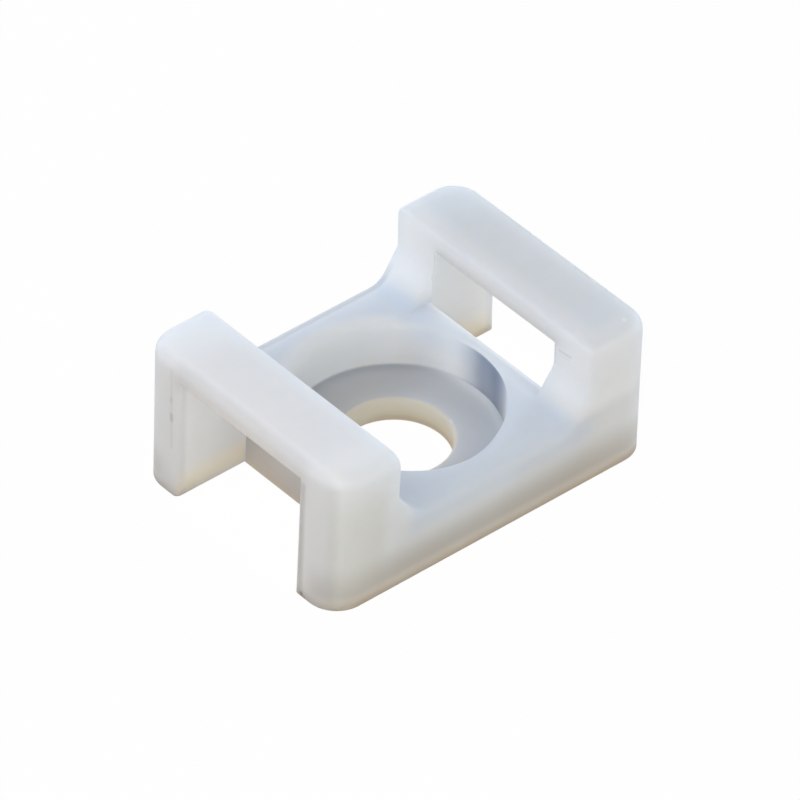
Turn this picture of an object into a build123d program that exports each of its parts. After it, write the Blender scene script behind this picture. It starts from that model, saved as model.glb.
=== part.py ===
from build123d import *
import os

# Cable saddle clip: one moulded piece with an arch at each end and a screw hole in its middle.
# Millimetres. The origin is at the middle of the underside, +X runs from arch to arch, +Z is up.

# Screw hole, and the round recess that takes the screw's head
screw_hole_diameter = 6.1
head_recess_diameter = 11.5
seat_thickness = 1.45

# Floor that the cable lies on, and what it leaves around the recess
floor_height = 4.15
side_land = 2.0
end_land = 0.6

# Arches, and the slot under each bridge for the tie
arch_thickness = 4.4
bridge_thickness = 1.35
tie_slot_width = 9.46
tie_slot_gap = 3.3
shutoff_step = 0.25  # the floor stops this far short of the bridges, where the mould's halves meet

# Ramp from the floor up to each leg
ramp_run = 1.25
ramp_rise = 1.8

# Draft for the mould, in degrees: the ends lean in and the sides lean out towards the top
end_draft = 0.9
side_draft = 1.1

# Roundings
plan_corner_radius = 1.8
arch_top_radius = 0.8
mouth_radius = 0.25
ramp_foot_radius = 1.2
ramp_head_radius = 0.8
recess_rim_radius = 0.85
rim_end_flare = 0.1  # what is left of the rim rounding towards the floor ends
hole_edge_radius = 0.2
slot_edge_radius = 0.3

# Places worked out from the sizes above
hole_radius = screw_hole_diameter / 2
recess_radius = head_recess_diameter / 2
floor_end = recess_radius + end_land
arch_inner = floor_end + shutoff_step
half_length = arch_inner + arch_thickness
half_width = recess_radius + side_land
half_slot = tie_slot_width / 2
slot_top = floor_height + tie_slot_gap
arch_height = slot_top + bridge_thickness
ramp_top = floor_height + ramp_rise
ramp_foot = arch_inner - ramp_run
past = 2.0  # how far a cut runs on into the open
near = 0.01  # tells apart the places of two edges


def block():
    """Solid block with leaning ends and sides, rounded at its corners and around its top."""
    solid = extrude(Rectangle(2 * half_length, 2 * half_width), amount=arch_height)
    ends = solid.faces().filter_by(Axis.X)
    solid = draft(ends, Plane.XY, end_draft)
    sides = solid.faces().filter_by(lambda face: abs(face.normal_at().Y) > 0.9)
    solid = draft(sides, Plane.XY, -side_draft)
    uprights = solid.edges().filter_by(lambda edge: edge.bounding_box().size.Z > arch_height / 2)
    solid = fillet(uprights, plan_corner_radius)
    return fillet(solid.faces().sort_by(Axis.Z)[-1].edges(), arch_top_radius)


def trough():
    """Space between the arches, with a ramp up to each leg."""
    right = [
        (arch_inner, arch_height + past),
        (arch_inner, ramp_top),
        (ramp_foot, floor_height),
    ]
    left = [(-x, z) for x, z in reversed(right)]
    outline = make_face(Polyline(*right, *left, close=True))
    feet = outline.vertices().filter_by(lambda point: abs(point.Y - floor_height) < near)
    outline = fillet(feet, ramp_foot_radius)
    heads = outline.vertices().filter_by(lambda point: abs(point.Y - ramp_top) < near)
    outline = fillet(heads, ramp_head_radius)
    return extrude(Plane.XZ * outline, amount=half_width + past, both=True)


def saddle():
    """Block with its trough, whose mouth is rounded along the floor, the ramps and the arches."""
    solid = block() - trough()

    def is_mouth(edge):
        middle, size = edge.center(), edge.bounding_box().size
        across_bridge = size.Y > half_width and middle.Z > arch_height - near
        along_side = abs(middle.Y) > half_width - arch_top_radius and size.Y < arch_top_radius + near
        return abs(middle.X) < arch_inner + near and middle.Z > near and (across_bridge or along_side)

    return fillet(solid.edges().filter_by(is_mouth), mouth_radius)


def revolved(*outline):
    """Solid of revolution about Z from the pieces of an outline in X and Z."""
    return revolve(Plane.XZ * make_face(outline), Axis.Z)


def screw_seat():
    """Screw hole under a round recess for the screw's head."""
    hole_mouth = (hole_radius, seat_thickness - hole_edge_radius)
    seat_inner = (hole_radius + hole_edge_radius, seat_thickness)
    rim = (recess_radius, floor_height + past)
    return revolved(
        Polyline((0, -past), (hole_radius, -past), hole_mouth),
        RadiusArc(hole_mouth, seat_inner, hole_edge_radius),
        Polyline(seat_inner, (recess_radius, seat_thickness), rim, (0, floor_height + past), (0, -past)),
    )


def rim_flare():
    """Rounding of the recess's rim: full at the sides, fading out towards the thin floor ends."""
    top = recess_radius + rim_end_flare
    foot = (top - recess_rim_radius, floor_height - recess_rim_radius)
    flare = revolved(
        Line((0, foot[1]), foot),
        RadiusArc(foot, (top, floor_height), recess_rim_radius),
        Polyline((top, floor_height), (top, floor_height + near), (0, floor_height + near), (0, foot[1])),
    )
    return scale(flare, by=(1, (recess_radius + recess_rim_radius) / top, 1))


def tie_slot():
    """Slot under one bridge: open to the trough, to the end and to the underside."""
    outline = make_face(
        Polyline(
            (0, floor_height),
            (floor_end, floor_height),
            (floor_end, -past),
            (half_length + past, -past),
            (half_length + past, slot_top),
            (0, slot_top),
            close=True,
        )
    )
    return extrude(Plane.XZ * outline, amount=half_slot, both=True)


def clip():
    """The whole clip, with the slots' edges rounded where they meet the ends."""
    right_slot = tie_slot()
    solid = saddle() - screw_seat() - rim_flare() - right_slot - mirror(right_slot, about=Plane.YZ)

    def is_slot_edge(edge):
        middle, size = edge.center(), edge.bounding_box().size
        at_end = abs(middle.X) > half_length - arch_height / 20 and size.X < arch_height / 20
        upright = abs(abs(middle.Y) - half_slot) < near and size.Z > slot_top / 2
        across = abs(middle.Z - slot_top) < near and size.Y > half_slot
        return at_end and (upright or across)

    return fillet(solid.edges().filter_by(is_slot_edge), slot_edge_radius)


saddle_clip = clip()
saddle_clip.label = "saddle_clip"

os.makedirs("parts", exist_ok=True)
export_step(saddle_clip, "parts/saddle_clip.step")
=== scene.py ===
import math

import bpy
from mathutils import Matrix, Vector

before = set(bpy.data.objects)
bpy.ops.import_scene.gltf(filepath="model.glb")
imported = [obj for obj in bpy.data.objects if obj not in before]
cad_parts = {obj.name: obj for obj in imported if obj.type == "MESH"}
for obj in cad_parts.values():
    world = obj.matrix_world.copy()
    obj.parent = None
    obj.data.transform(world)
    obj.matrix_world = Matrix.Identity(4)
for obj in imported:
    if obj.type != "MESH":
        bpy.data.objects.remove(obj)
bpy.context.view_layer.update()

bl_info = {
    "name": "Cable saddle clip",
    "version": (1, 0, 0),
    "blender": (4, 5, 0),
    "location": "View3D > Sidebar > Saddle Clip",
    "description": "Finishes the packed saddle clip in milky nylon and sets it in a plain studio",
    "category": "Object",
}

CLIP = "saddle_clip"
MILLIMETRE = 0.001

# Nylon: how far red, green and blue go inside it, as shares of the light depth, and its clouds and grain
LIGHT_REACH = (1.0, 0.92, 0.80)
REFRACTION = 1.53
ROUGHNESS_CHANGE = (-0.04, 0.05)
CLOUD_NOISE = {"Scale": 0.26, "Detail": 3.0, "Roughness": 0.55}
CLOUD_EDGES = (0.35, 0.7)
GRAIN_DETAIL = 2.0
GRAIN_STRENGTH = 0.6
BEVEL_SAMPLES = 6

# Stage: the camera's sensor in millimetres, how near and far it sees in metres, then the floor and its paper
SENSOR_WIDTH = 36.0
CAMERA_NEAR = 0.01
CAMERA_FAR = 10.0
FLOOR_RADIUS = 3.0
FLOOR_STEPS = 96
FLOOR_ROUGHNESS = 0.9
PAPER_SCALE = 900.0
PAPER_LIFT = 1.02

# Marks on the skin, with a painted shade line and painted highlights among them: start and end in millimetres
# on the clip, half width, and strength, dark below zero
MARKS = (
    ("Back witness line", (-10.86, 5.45, 8.1), (-10.95, 5.24, 3.1), 0.09, -0.09),
    ("Back witness spot", (-10.92, 5.33, 5.2), (-10.92, 5.31, 4.9), 0.12, -0.24),
    ("Upper witness spot", (-10.9, 5.38, 6.3), (-10.9, 5.37, 6.1), 0.10, -0.14),
    # Painted shade: a dark line where the front slot's rounded edge turns away from the light
    ("Front slot edge", (-10.88, -5.0, 7.2), (-11.0, -5.05, 0.2), 0.24, -0.42),
    ("Foot nick", (-11.0, -5.3, 0.15), (-11.0, -5.5, 0.0), 0.13, -0.75),
    ("Scuff beside the slot", (6.6, -5.12, 7.13), (6.6, -5.98, 7.22), 0.08, -0.20),
    ("Second scuff", (6.6, -5.2, 6.9), (6.6, -5.85, 6.95), 0.08, -0.08),
    # Painted highlights: the bright rounded lower edge of the left bridge, and the glints on the corner, the
    # arch and the hole
    ("Left bridge's lower edge", (-10.92, -4.5, 7.5), (-10.92, 4.5, 7.5), 0.12, 0.45),
    ("Corner glint", (9.47, -6.88, 8.8), (9.5, -6.8, 8.8), 0.10, 0.60),
    ("Arch glint", (6.6, -5.99, 8.37), (6.6, -5.9, 8.37), 0.06, 0.50),
    ("Hole glint", (3.05, -0.81, 1.43), (3.0, -0.95, 1.43), 0.08, 0.50),
)

# Fades bound a place on the clip. Each is a measure in millimetres, where the place begins and where it is
# full, and sometimes the least that is left where it hasn't begun. The measures are x and y from the middle
# planes, along the tie and along the cable, right and back the same with their sign, z above the underside,
# radius from the screw's axis, and clear, which runs from 0 on the slots' inner walls to 1 elsewhere.
SEAT = (("radius", 3.1, 3.3), ("z", 1.75, 1.5), ("radius", 5.9, 5.75))
ENDS = ("x", 10.2, 10.7)

# Places away from the slots' inner walls, which the measure clear is made of
CLEAR = (
    ("Beside the slot", (("y", 4.74, 4.9),)),
    ("On the floor", (("x", 6.5, 6.36),)),
    ("On the bridge", (("z", 7.2, 7.4),)),
)

# Places where the shading softens the edges: all but the slots, whose ends count again low down
SOFTENED = (
    ("Beside the slots", (("y", 5.0, 5.4),)),
    ("Between the slots", (("x", 6.2, 6.0),)),
    ("Above the slots", (("z", 7.95, 8.15),)),
    ("Low at the ends", (("x", 9.0, 10.0), ("z", 7.0, 6.0))),
)

# Places where more light comes up from the floor, and how much more, as a share of the opening glow
GLOWS = (
    ("Under the hole", 1.0, (("radius", 3.4, 2.9),)),
    ("Under the slots", 1.4, (("x", 6.0, 6.6), ("x", 12.5, 10.5), ("y", 5.2, 4.4))),
    ("Under the clip", 0.33, (("x", 12.2, 10.8), ("y", 9.0, 7.6))),
)

# Tints of the nylon, laid over each other in this order: the colour's name, its strength and its fades. Most
# of them are painted light and painted shade, named at each one
TINTS = (
    # Painted cool shade on the clip's floor
    (
        "Floor of the clip", "painted_floor_shade", 1.0,
        (("x", 7.6, 5.6), ("right", -6.5, -5.2), ("z", 4.9, 4.2), ("z", 2.2, 3.8), ("clear", 0.0, 1.0)),
    ),
    # Painted shade on the top of the right arch
    (
        "Top of the right arch", "painted_top_shade", 0.62,
        (("right", 7.0, 8.2), ("z", 8.5, 8.75), ("back", -7.3, -5.9)),
    ),
    # Painted light on the inner faces, where light gathers
    (
        "Inner faces", "painted_light_colour", 1.0,
        (
            ("x", 4.4, 6.3), ("x", 11.6, 8.6), ("z", 4.2, 5.6), ("z", 8.8, 8.5), ("clear", 0.0, 1.0),
            ("right", -1.0, 1.0, 0.1),
        ),
    ),
    # Painted light on the top of the left arch
    ("Top of the left arch", "painted_light_colour", 0.8, (("right", -5.5, -7.0), ("z", 8.0, 8.6))),
    ("Near left leg", "leg_colour", 0.3, (("right", -7.0, -8.2), ("back", -6.6, -7.4), ("z", 8.2, 5.8))),
    # Painted shade, darker and warmer towards the bottom of the outside
    ("Foot", "foot_shade_and_cloud_colour", 0.82, (("z", 3.2, 1.1), ("y", 5.2, 6.6), ("z", 0.1, 1.0), ("x", 8.5, 5.5, 0.83))),
    # Painted glow of light from below in the hole, low in the slots and along the base edge
    ("Hole wall", "painted_glow_colour", 0.9, (("radius", 3.35, 3.1),)),
    ("Slots low down", "painted_glow_colour", 0.9, (("y", 5.0, 4.7), ("x", 6.36, 6.42), ("z", 2.2, 0.2))),
    ("Base edge", "painted_glow_colour", 0.45, (("z", 1.1, 0.1), ("y", 6.0, 7.0))),
    # Painted shade on the thin seat
    ("Seat", "painted_seat_shade", 1.0, SEAT),
    # Painted light on the thick recess wall
    (
        "Thick recess wall", "painted_wall_light", 1.0,
        (
            ("radius", 5.4, 5.6), ("radius", 7.2, 5.8), ("z", 1.45, 1.7), ("z", 4.4, 4.2), ("x", 5.0, 3.2),
            ("back", -3.0, 0.0),
        ),
    ),
    # Painted dark blue shade on the thin recess wall, where the dark slot shows through
    (
        "Thin recess wall", "painted_thin_wall_shade", 1.0,
        (
            ("radius", 5.45, 5.7), ("radius", 6.05, 5.9), ("x", 4.2, 5.2), ("z", 1.4, 1.6), ("z", 4.14, 3.95),
            ("back", 2.2, -0.4), ("back", -4.2, -1.2),
        ),
    ),
    # Painted shade on the floor strip beside the thin recess wall
    (
        "Thin strip", "painted_thin_wall_shade", 0.24,
        (("right", 5.4, 6.1), ("z", 4.6, 4.25), ("z", 3.95, 4.1), ("back", 3.5, 0.5), ("y", 5.4, 4.2)),
    ),
    # Painted shade on the back edge, the floor ends, the clip's ends and the back of the seat
    ("Back edge", "shade_colour", 0.6, (("back", 7.25, 7.5), ("x", 6.4, 5.2), ("z", 3.6, 3.9))),
    (
        "Floor ends", "shade_colour", 0.96,
        (("x", 6.25, 6.33), ("x", 6.5, 6.4), ("z", 4.1, 3.9), ("y", 4.72, 4.6), ("back", 2.5, -3.0, 0.67)),
    ),
    ("Ends", "shade_colour", 0.31, (ENDS,)),
    ("Ends of the bridges", "shade_colour", 0.2, (ENDS, ("y", 5.8, 4.6), ("z", 6.6, 7.6))),
    ("Back of the seat", "shade_colour", 0.25, (*SEAT, ("back", 1.0, 4.0))),
)

# Soft lights: turn from the front towards the right and height, in degrees, distance in metres, the power in
# watts that each would need at the reference distance, and which of the stage's light colours it has
LAMPS = (
    ("Back left", 225, 18, 0.5, 0.52, "cool_light"),
    ("Right low", 90, 4, 0.5, 1.95, "cool_light"),
    ("Front left near", 315, 40, 0.09, 0.57, "pale_light"),
    ("Back near", 180, 30, 0.09, 0.88, "cool_light"),
    ("Front left", 315, 18, 0.5, 0.21, "cool_light"),
    ("Front right low", 45, 4, 0.5, 0.55, "plain_light"),
    ("Left near", 270, 40, 0.09, 0.56, "warm_light"),
    ("Back right low", 135, 4, 0.5, 0.55, "plain_light"),
)
LAMP_REFERENCE = 0.5
LAMP_SPREAD = 0.7  # width of each light as a share of its distance
LAMP_TARGET = Vector((0.0, 0.0, 0.004))


# Sizes and colours that a user would change


def colour(name, description, default):
    """Property for a colour."""
    return bpy.props.FloatVectorProperty(
        name=name, description=description, subtype="COLOR", size=3, min=0.0, max=1.0, default=default
    )


def share(name, description, default):
    """Property for a share from 0 to 1."""
    return bpy.props.FloatProperty(
        name=name, description=description, subtype="FACTOR", min=0.0, max=1.0, default=default
    )


def length(name, description, default):
    """Property for a length in metres."""
    return bpy.props.FloatProperty(
        name=name, description=description, unit="LENGTH", precision=6, default=default
    )


def angle(name, description, degrees):
    """Property for an angle, given in degrees."""
    return bpy.props.FloatProperty(
        name=name, description=description, unit="ROTATION", default=math.radians(degrees)
    )


def strength(name, description, default):
    """Property for a strength of light."""
    return bpy.props.FloatProperty(name=name, description=description, min=0.0, default=default)


class SaddleClipNylon(bpy.types.PropertyGroup):
    """Look of the uncoloured nylon, and the painted light and shade in its colour."""

    colour: colour("Colour", "Colour of the nylon where it is thick", (0.80, 0.81, 0.82))
    # Painted cool shade on the clip's floor
    painted_floor_shade: colour("Painted floor shade", "Clip's floor, where it is thin over the panel", (0.69, 0.74, 0.82))
    # Painted shade on the top of the right arch
    painted_top_shade: colour("Painted top shade", "Top of the right arch", (0.66, 0.72, 0.77))
    # Painted light on the inner faces and the tops
    painted_light_colour: colour("Painted light colour", "Inner faces and tops, where light gathers", (1.0, 1.0, 1.0))
    leg_colour: colour("Leg colour", "Near side of the left leg", (0.62, 0.63, 0.53))
    # Painted shade outside low down, and the nylon's own clouds inside
    foot_shade_and_cloud_colour: colour("Foot shade and cloud colour", "Outside low down, and the clouds inside", (0.56, 0.545, 0.515))
    # Painted glow of light from below
    painted_glow_colour: colour("Painted glow colour", "Hole, slots and base edge, lit from below", (1.0, 0.84, 0.63))
    # Painted shade on the thin seat
    painted_seat_shade: colour("Painted seat shade", "Thin seat under the screw's head", (0.62, 0.665, 0.735))
    # Painted light on the thick recess wall
    painted_wall_light: colour("Painted wall light", "Recess wall where it is thick", (0.99, 0.98, 0.95))
    # Painted dark blue shade on the thin recess wall
    painted_thin_wall_shade: colour("Painted thin wall shade", "Recess wall where only the slot is behind it", (0.07, 0.12, 0.22))
    shade_colour: colour("Shade colour", "Places that the light misses", (0.36, 0.37, 0.39))
    # Scuffs, witness marks and the nick, and the painted shade line on the front slot edge
    dark_mark: colour("Dark mark", "Scuffs, witness marks and a painted shade line", (0.05, 0.05, 0.06))
    # Painted highlights on the glints and the bright edges
    painted_highlight: colour("Light mark", "Glints and bright edges", (0.97, 0.98, 1.0))
    cloudiness: share("Cloudiness", "How much the clouds inside the nylon show", 0.12)
    light_depth: length("Light depth", "How far light travels inside the nylon", 0.006)
    light_share: share("Light share", "Share of the light that enters the nylon", 1.0)
    roughness: share("Roughness", "Roughness of the moulded skin", 0.55)
    softness: length("Softness", "Radius over which the shading softens the edges", 0.0011)
    grain: length("Grain", "Size of the fine grain that the mould leaves", 0.00018)
    grain_depth: length("Grain depth", "Depth of the fine grain", 0.000004)


class SaddleClipStage(bpy.types.PropertyGroup):
    """Camera, floor and light."""

    turn: angle("Turn", "Angle of the view about the upright axis", -42.08)
    height: angle("Height", "Angle of the view above the floor", 40.065)
    roll: angle("Roll", "Lean of the camera about its own line of sight", 1.968)
    distance: length("Distance", "From the camera to the middle of the underside", 0.558)
    aside: length("Aside", "How far right of the line of sight the middle lies", -0.000235)
    below: length("Below", "How far below the line of sight the middle lies", 0.003)
    lens: bpy.props.FloatProperty(
        name="Lens", description="Focal length of the camera", unit="CAMERA", min=1.0, default=479.6
    )
    floor_colour: colour("Floor colour", "Colour of the floor that its bounce takes", (0.62, 0.57, 0.50))
    floor_glow: colour("Floor glow", "Light that the floor gives the clip from below", (0.14, 0.12, 0.092))
    opening_glow: strength("Opening glow", "How much more light comes up in the hole and the slots", 1.1)
    floor_lift: share("Floor lift", "How much the seen floor is lifted to white", 0.98)
    sky_colour: colour("Sky colour", "Colour of the even light from all round", (0.725, 0.65, 0.57))
    sky: strength("Sky", "Strength of the even light from all round", 0.5)
    light: strength("Light", "Strength of all the soft lights together", 0.975)
    cool_light: colour("Cool light", "Colour of the lights behind, right and far in front", (0.46, 0.71, 1.0))
    pale_light: colour("Pale light", "Colour of the near light in front", (0.54, 0.83, 1.0))
    plain_light: colour("Plain light", "Colour of the low lights at the two right corners", (1.0, 0.93, 0.91))
    warm_light: colour("Warm light", "Colour of the near light on the left", (1.0, 0.71, 0.57))


# Node helpers


def new_material(name):
    """New material with its Principled shader and its node tree."""
    material = bpy.data.materials.new(name)
    material.use_nodes = True
    tree = material.node_tree
    return material, tree, tree.nodes["Principled BSDF"]


def feed(tree, socket, value):
    """Links a socket to another one, or sets it to a constant."""
    if isinstance(value, bpy.types.NodeSocket):
        tree.links.new(value, socket)
    else:
        socket.default_value = value


def node(tree, kind, label, settings=None, **inputs):
    """New node with its settings, and its inputs by name."""
    made = tree.nodes.new(kind)
    made.label = label
    for name, value in (settings or {}).items():
        setattr(made, name, value)
    for name, value in inputs.items():
        feed(tree, made.inputs[name], value)
    return made


def sums(tree, label, operation, *values, clamp=False):
    """Result of one sum on numbers or sockets."""
    made = node(tree, "ShaderNodeMath", label, {"operation": operation, "use_clamp": clamp})
    for socket, value in zip(made.inputs, values):
        feed(tree, socket, value)
    return made.outputs[0]


def step(tree, label, value, none, full, least=0.0):
    """Mask that rises smoothly from the least where the value is none to 1 where it is full."""
    made = node(tree, "ShaderNodeMapRange", label, {"interpolation_type": "SMOOTHSTEP"}, Value=value)
    for name, limit in (("From Min", none), ("From Max", full), ("To Min", least)):
        feed(tree, made.inputs[name], limit)
    return made.outputs["Result"]


def bounded(tree, name, amount, fades, found):
    """Mask that has an amount inside all of its fades."""
    for measure, *limits in fades:
        amount = sums(tree, name, "MULTIPLY", amount, step(tree, name, found[measure], *limits))
    return amount


def any_of(tree, places, found):
    """Mask that is 1 in any of some places."""
    most = 0.0
    for name, fades in places:
        most = sums(tree, name, "MAXIMUM", most, bounded(tree, name, 1.0, fades, found))
    return most


def mixed(tree, label, below, above, amount):
    """Colour laid over another one by an amount."""
    made = node(tree, "ShaderNodeMix", label, {"data_type": "RGBA"})
    feed(tree, made.inputs["Factor"], amount)
    for name, value in (("A", below), ("B", above)):
        feed(tree, made.inputs[name], value if isinstance(value, bpy.types.NodeSocket) else (*value, 1.0))
    return made.outputs["Result"]


def measures(tree):
    """Place in millimetres, and the measures of it that fades use."""
    metres = node(tree, "ShaderNodeTexCoord", "Place").outputs["Object"]
    scaled = node(tree, "ShaderNodeVectorMath", "Millimetres", {"operation": "SCALE"}, Vector=metres)
    scaled.inputs["Scale"].default_value = 1.0 / MILLIMETRE
    place = scaled.outputs["Vector"]
    right, back, up = node(tree, "ShaderNodeSeparateXYZ", "Millimetres apart", Vector=place).outputs
    flat = node(tree, "ShaderNodeCombineXYZ", "Without height", X=right, Y=back).outputs["Vector"]
    radius = node(tree, "ShaderNodeVectorMath", "From the screw's axis", {"operation": "LENGTH"}, Vector=flat)
    found = {
        "right": right,
        "back": back,
        "x": sums(tree, "Along the tie", "ABSOLUTE", right),
        "y": sums(tree, "Along the cable", "ABSOLUTE", back),
        "z": up,
        "radius": radius.outputs["Value"],
    }
    return place, found


# Nylon


def mark_group():
    """Mask of one short mark: 1 on the line from start to end, half at its half width, 0 at twice that."""
    group = bpy.data.node_groups.new("Mark", "ShaderNodeTree")
    for name in ("Place", "Start", "End"):
        group.interface.new_socket(name, in_out="INPUT", socket_type="NodeSocketVector")
    group.interface.new_socket("Half Width", in_out="INPUT", socket_type="NodeSocketFloat")
    group.interface.new_socket("Mask", in_out="OUTPUT", socket_type="NodeSocketFloat")
    given = group.nodes.new("NodeGroupInput").outputs
    result = group.nodes.new("NodeGroupOutput").inputs

    def vector(label, operation, output, *values):
        made = node(group, "ShaderNodeVectorMath", label, {"operation": operation})
        for name, value in values:
            feed(group, made.inputs[name], value)
        return made.outputs[output]

    along = vector("Along", "SUBTRACT", "Vector", (0, given["End"]), (1, given["Start"]))
    away = vector("Away", "SUBTRACT", "Vector", (0, given["Place"]), (1, given["Start"]))
    reach = vector("Reach", "DOT_PRODUCT", "Value", (0, away), (1, along))
    whole = vector("Whole", "DOT_PRODUCT", "Value", (0, along), (1, along))
    part = sums(group, "Part", "DIVIDE", reach, whole, clamp=True)
    nearest = vector("Nearest", "SCALE", "Vector", (0, along), ("Scale", part))
    gap = vector("Gap", "DISTANCE", "Value", (0, away), (1, nearest))
    twice = sums(group, "Twice", "MULTIPLY", given["Half Width"], 2.0)
    feed(group, result["Mask"], step(group, "Mark edge", gap, twice, 0.0))
    return group


def marks(tree, place):
    """Dark marks of the skin with one painted shade line among them, and the painted highlights, each as one
    mask.
    """
    group = mark_group()
    totals = {"dark": 0.0, "light": 0.0}
    for name, start, end, half_width, amount in MARKS:
        mark = node(tree, "ShaderNodeGroup", name, {"node_tree": group})
        for socket, value in (("Place", place), ("Start", start), ("End", end), ("Half Width", half_width)):
            feed(tree, mark.inputs[socket], value)
        kind = "dark" if amount < 0.0 else "light"
        totals[kind] = sums(tree, name, "MULTIPLY_ADD", mark.outputs["Mask"], abs(amount), totals[kind])
    return totals["dark"], totals["light"]


def nylon_tone(tree, look, place, found, cloud):
    """Colour of the nylon with every tint of painted light and shade, the marks and the clouds laid over it
    in turn.
    """
    tone = look.colour
    for name, colour_name, amount, fades in TINTS:
        amount = bounded(tree, name, amount, fades, found)
        tone = mixed(tree, name, tone, getattr(look, colour_name), amount)
    dark, light = marks(tree, place)
    tone = mixed(tree, "Dark marks", tone, look.dark_mark, dark)
    tone = mixed(tree, "Painted highlights", tone, look.painted_highlight, light)
    faint = sums(tree, "Faint", "MULTIPLY", cloud, look.cloudiness)
    return mixed(tree, "Cloud colour", tone, look.foot_shade_and_cloud_colour, faint)


def eased_normal(tree, look, found):
    """Normal of softened edges, and the true one in the slots."""
    soft = node(tree, "ShaderNodeBevel", "Soft edges", {"samples": BEVEL_SAMPLES}, Radius=look.softness)
    solid = node(tree, "ShaderNodeNewGeometry", "True normal")
    eased = node(tree, "ShaderNodeMix", "Softened where clear", {"data_type": "VECTOR"})
    feed(tree, eased.inputs["Factor"], any_of(tree, SOFTENED, found))
    feed(tree, eased.inputs["A"], solid.outputs["Normal"])
    feed(tree, eased.inputs["B"], soft.outputs["Normal"])
    return eased.outputs["Result"]


def grained(tree, look, place, normal):
    """Normal with the mould's fine grain on it."""
    grain = node(tree, "ShaderNodeTexNoise", "Mould grain", Vector=place, Detail=GRAIN_DETAIL)
    grain.inputs["Scale"].default_value = MILLIMETRE / look.grain
    bump = node(tree, "ShaderNodeBump", "Grain bump", Strength=GRAIN_STRENGTH, Normal=normal)
    feed(tree, bump.inputs["Distance"], look.grain_depth)
    feed(tree, bump.inputs["Height"], grain.outputs["Fac"])
    return bump.outputs["Normal"]


def nylon_material(look):
    """Milky nylon with painted light and shade: a painted warm glow and shade low down and painted cool shade
    where it is thin, with its marks, painted highlights and a fine grain.
    """
    material, tree, shader = new_material("milky_nylon")
    place, found = measures(tree)
    found["clear"] = any_of(tree, CLEAR, found)
    clouds = node(tree, "ShaderNodeTexNoise", "Clouds", Vector=place, **CLOUD_NOISE)
    cloud = step(tree, "Cloud", clouds.outputs["Fac"], *CLOUD_EDGES)
    rough = node(tree, "ShaderNodeMapRange", "Roughness range", Value=cloud)
    for name, change in zip(("To Min", "To Max"), ROUGHNESS_CHANGE):
        rough.inputs[name].default_value = look.roughness + change

    feed(tree, shader.inputs["Base Color"], nylon_tone(tree, look, place, found, cloud))
    feed(tree, shader.inputs["Normal"], grained(tree, look, place, eased_normal(tree, look, found)))
    feed(tree, shader.inputs["Roughness"], rough.outputs["Result"])
    shader.inputs["Subsurface Weight"].default_value = look.light_share
    shader.inputs["Subsurface Radius"].default_value = LIGHT_REACH
    shader.inputs["Subsurface Scale"].default_value = look.light_depth
    shader.inputs["IOR"].default_value = REFRACTION
    return material


class SADDLECLIP_OT_nylon(bpy.types.Operator):
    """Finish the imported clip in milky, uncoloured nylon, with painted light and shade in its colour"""

    bl_idname = "saddleclip.nylon"
    bl_label = "Finish in nylon"
    bl_options = {"REGISTER", "UNDO"}

    def execute(self, context):
        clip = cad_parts.get(CLIP)
        if clip is None:
            raise RuntimeError(f"the frame has no node named {CLIP}")
        material = nylon_material(context.scene.saddleclip_nylon)
        for slot in clip.material_slots:
            slot.material = material
        return {"FINISHED"}


# Stage


def camera_matrix(stage):
    """Place of the camera: the photograph's line of sight, turned, raised and rolled."""
    turn, height = stage.turn, stage.height
    ahead = Vector(
        (-math.sin(turn) * math.cos(height), math.cos(turn) * math.cos(height), -math.sin(height))
    )
    level_right = Vector((math.cos(turn), math.sin(turn), 0.0))
    level_down = ahead.cross(level_right)
    right = math.cos(stage.roll) * level_right - math.sin(stage.roll) * level_down
    down = math.sin(stage.roll) * level_right + math.cos(stage.roll) * level_down
    place = -(right * stage.aside + down * stage.below + ahead * stage.distance)
    matrix = Matrix((right, -down, -ahead)).transposed().to_4x4()
    matrix.translation = place
    return matrix


def add_camera(stage):
    """Camera at the photograph's viewing angle."""
    data = bpy.data.cameras.new("Camera")
    data.sensor_width = SENSOR_WIDTH
    data.lens = stage.lens
    data.clip_start = CAMERA_NEAR
    data.clip_end = CAMERA_FAR
    camera = bpy.data.objects.new("Camera", data)
    bpy.context.scene.collection.objects.link(camera)
    camera.matrix_world = camera_matrix(stage)
    bpy.context.scene.camera = camera


def seen_by_camera(tree):
    """Output that is 1 where the camera itself looks, for floor and sky only."""
    return node(tree, "ShaderNodeLightPath", "Seen directly").outputs["Is Camera Ray"]


def light_from_below(tree, opening_glow):
    """Strength of the floor's glow: 1 in the open, more under the clip and most in its openings."""
    found = measures(tree)[1]
    more = 0.0
    for name, amount, fades in GLOWS:
        more = sums(tree, name, "ADD", more, bounded(tree, name, amount, fades, found))
    return sums(tree, "Glow", "MULTIPLY_ADD", more, opening_glow, 1.0)


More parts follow.
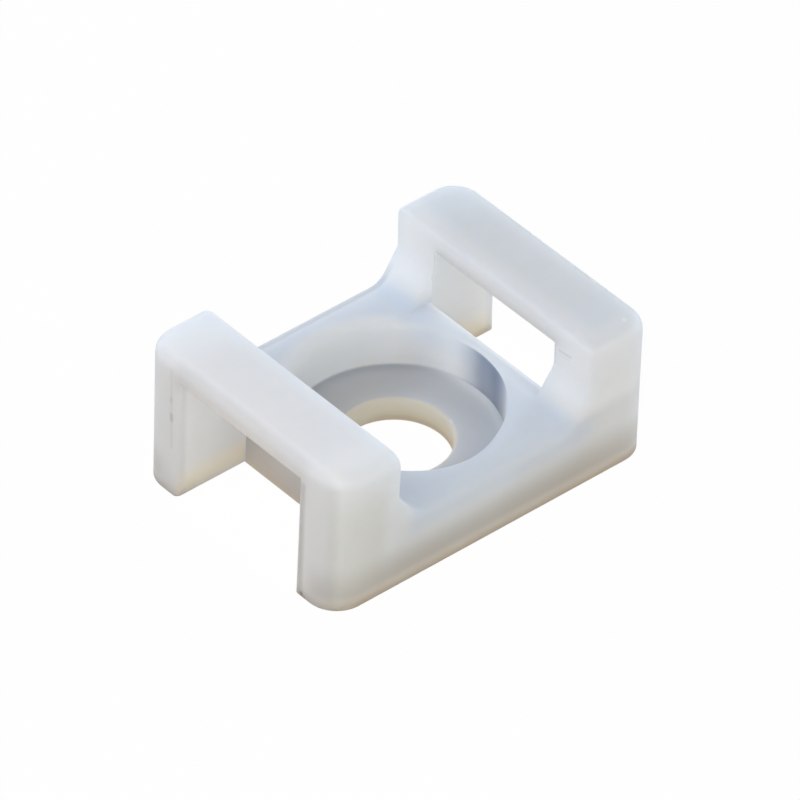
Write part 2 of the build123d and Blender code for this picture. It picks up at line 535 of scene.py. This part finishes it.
def floor_material(stage):
    """Plain floor: nearly white where it is seen, and for the clip a warm bounce and glow."""
    material, tree, shader = new_material("studio_floor")
    paper = node(tree, "ShaderNodeTexNoise", "Paper", Scale=PAPER_SCALE)
    pale = [min(1.0, PAPER_LIFT * part) for part in stage.floor_colour]
    tone = mixed(tree, "Paper colour", stage.floor_colour, pale, paper.outputs["Fac"])
    feed(tree, shader.inputs["Base Color"], tone)
    shader.inputs["Roughness"].default_value = FLOOR_ROUGHNESS
    shader.inputs["Specular IOR Level"].default_value = 0.0
    shader.inputs["Emission Color"].default_value = (*stage.floor_glow, 1.0)
    feed(tree, shader.inputs["Emission Strength"], light_from_below(tree, stage.opening_glow))

    white = node(tree, "ShaderNodeEmission", "White")
    blend = node(tree, "ShaderNodeMixShader", "Lifted floor")
    feed(tree, blend.inputs[0], sums(tree, "Lift", "MULTIPLY", seen_by_camera(tree), stage.floor_lift))
    feed(tree, blend.inputs[1], shader.outputs["BSDF"])
    feed(tree, blend.inputs[2], white.outputs["Emission"])
    feed(tree, tree.nodes["Material Output"].inputs["Surface"], blend.outputs["Shader"])
    return material


def add_floor(stage):
    """Round plain floor under the clip."""
    mesh = bpy.data.meshes.new("studio_floor")
    ring = [math.tau * step_number / FLOOR_STEPS for step_number in range(FLOOR_STEPS)]
    corners = [(FLOOR_RADIUS * math.cos(turn), FLOOR_RADIUS * math.sin(turn), 0.0) for turn in ring]
    mesh.from_pydata(corners, [], [list(range(FLOOR_STEPS))])
    floor = bpy.data.objects.new("studio_floor", mesh)
    bpy.context.scene.collection.objects.link(floor)
    mesh.materials.append(floor_material(stage))


def add_sky(stage):
    """Even, warm light from all round, behind which the camera sees white."""
    world = bpy.data.worlds.new("studio_sky")
    world.use_nodes = True
    tree = world.node_tree
    even = tree.nodes["Background"]
    even.inputs["Color"].default_value = (*stage.sky_colour, 1.0)
    even.inputs["Strength"].default_value = stage.sky
    white = node(tree, "ShaderNodeBackground", "White", Color=(1.0, 1.0, 1.0, 1.0))
    blend = node(tree, "ShaderNodeMixShader", "Seen or lit")
    feed(tree, blend.inputs[0], seen_by_camera(tree))
    feed(tree, blend.inputs[1], even.outputs["Background"])
    feed(tree, blend.inputs[2], white.outputs["Background"])
    feed(tree, tree.nodes["World Output"].inputs["Surface"], blend.outputs["Shader"])
    bpy.context.scene.world = world


def add_lamp(name, turn, height, distance, power, tint, stage):
    """Soft square light that looks at the clip."""
    data = bpy.data.lights.new(name, "AREA")
    data.energy = power * stage.light * (distance / LAMP_REFERENCE) ** 2
    data.color = getattr(stage, tint)
    data.size = LAMP_SPREAD * distance
    lamp = bpy.data.objects.new(name, data)
    bpy.context.scene.collection.objects.link(lamp)
    turn, height = math.radians(turn), math.radians(height)
    away = Vector(
        (math.sin(turn) * math.cos(height), -math.cos(turn) * math.cos(height), math.sin(height))
    )
    lamp.location = LAMP_TARGET + distance * away
    lamp.rotation_mode = "QUATERNION"
    lamp.rotation_quaternion = (-away).to_track_quat("-Z", "Y")


class SADDLECLIP_OT_stage(bpy.types.Operator):
    """Add the floor, the soft lights, the sky and the camera"""

    bl_idname = "saddleclip.stage"
    bl_label = "Set the stage"
    bl_options = {"REGISTER", "UNDO"}

    def execute(self, context):
        stage = context.scene.saddleclip_stage
        add_floor(stage)
        add_sky(stage)
        for lamp in LAMPS:
            add_lamp(*lamp, stage)
        add_camera(stage)
        context.scene.view_settings.view_transform = "Standard"
        return {"FINISHED"}


class SADDLECLIP_PT_panel(bpy.types.Panel):
    """Steps and settings of the saddle clip"""

    bl_idname = "SADDLECLIP_PT_panel"
    bl_label = "Saddle Clip"
    bl_space_type = "VIEW_3D"
    bl_region_type = "UI"
    bl_category = "Saddle Clip"

    def draw(self, context):
        layout = self.layout
        for each in STEPS:
            layout.operator(each.bl_idname)
        for settings in (context.scene.saddleclip_nylon, context.scene.saddleclip_stage):
            box = layout.box()
            for name in settings.__annotations__:
                box.prop(settings, name)


STEPS = (SADDLECLIP_OT_nylon, SADDLECLIP_OT_stage)
SETTINGS = (SaddleClipNylon, SaddleClipStage)
CLASSES = (*SETTINGS, *STEPS, SADDLECLIP_PT_panel)


def register():
    """Registers the classes and hangs the settings on the scene."""
    for each in CLASSES:
        bpy.utils.register_class(each)
    bpy.types.Scene.saddleclip_nylon = bpy.props.PointerProperty(type=SaddleClipNylon)
    bpy.types.Scene.saddleclip_stage = bpy.props.PointerProperty(type=SaddleClipStage)


def unregister():
    """Takes the settings and the classes away again."""
    del bpy.types.Scene.saddleclip_stage
    del bpy.types.Scene.saddleclip_nylon
    for each in reversed(CLASSES):
        bpy.utils.unregister_class(each)


def main():
    """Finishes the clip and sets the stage."""
    register()
    bpy.ops.saddleclip.nylon()
    bpy.ops.saddleclip.stage()


if __name__ == "__main__":
    main()
